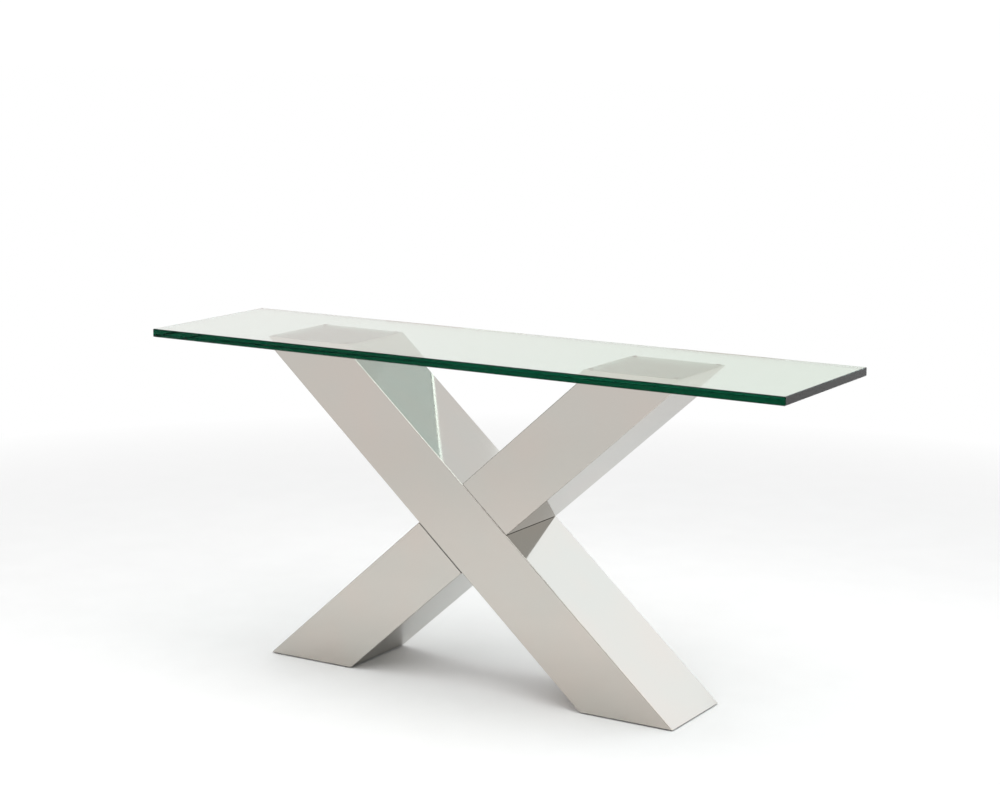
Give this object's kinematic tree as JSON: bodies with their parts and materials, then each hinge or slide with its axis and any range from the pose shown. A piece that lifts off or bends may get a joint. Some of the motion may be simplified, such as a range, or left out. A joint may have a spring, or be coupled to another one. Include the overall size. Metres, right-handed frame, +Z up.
{
  "type": "console table",
  "caption": "Console table with a long thick clear glass top lying loose on a crossed base of wide, deep box beams in polished stainless steel.",
  "frame": {"origin": "on the floor, under the middle of the glass top", "axes": "+X along the table to its right end as seen from the front, +Y to the back, +Z up"},
  "size_m": [1.6, 0.415, 0.758],
  "materials": {
    "top_glass": "clear float glass, green at the edges, arrises polished",
    "polished_stainless": "mirror polished with a faint lay",
    "satin_plate": "satin",
    "inner_plate": "mill finish",
    "fastener_steel": "zinc plated",
    "clear_bumper": "clear soft plastic, glossy",
    "floor_pad": "matt black"
  },
  "bodies": {
    "base": {"left_glass_bumpers": "clear_bumper", "right_glass_bumpers": "clear_bumper", "through_beam_channel": "polished_stainless", "through_beam_cover": "polished_stainless", "upper_arm_channel": "polished_stainless", "upper_arm_cover": "polished_stainless", "lower_arm_channel": "polished_stainless", "lower_arm_cover": "polished_stainless", "upper_arm_flange": "inner_plate", "lower_arm_flange": "inner_plate", "clamp_bolts": "fastener_steel", "clamp_nuts": "fastener_steel", "clamp_washers": "fastener_steel", "spacer_tubes": "inner_plate", "left_top_plate": "satin_plate", "right_top_plate": "satin_plate", "left_foot_plate": "satin_plate", "right_foot_plate": "satin_plate", "left_foot_cleats": "inner_plate", "right_foot_cleats": "inner_plate", "left_foot_screws": "fastener_steel", "right_foot_screws": "fastener_steel", "left_floor_pads": "floor_pad", "right_floor_pads": "floor_pad"},
    "glass": {"glass_top": "top_glass"}
  },
  "joints": [
    {"name": "glass_lift", "type": "slide", "parent": "base", "child": "glass", "axis": [0, 0, 1], "range_m": [0, 0.15]}
  ]
}
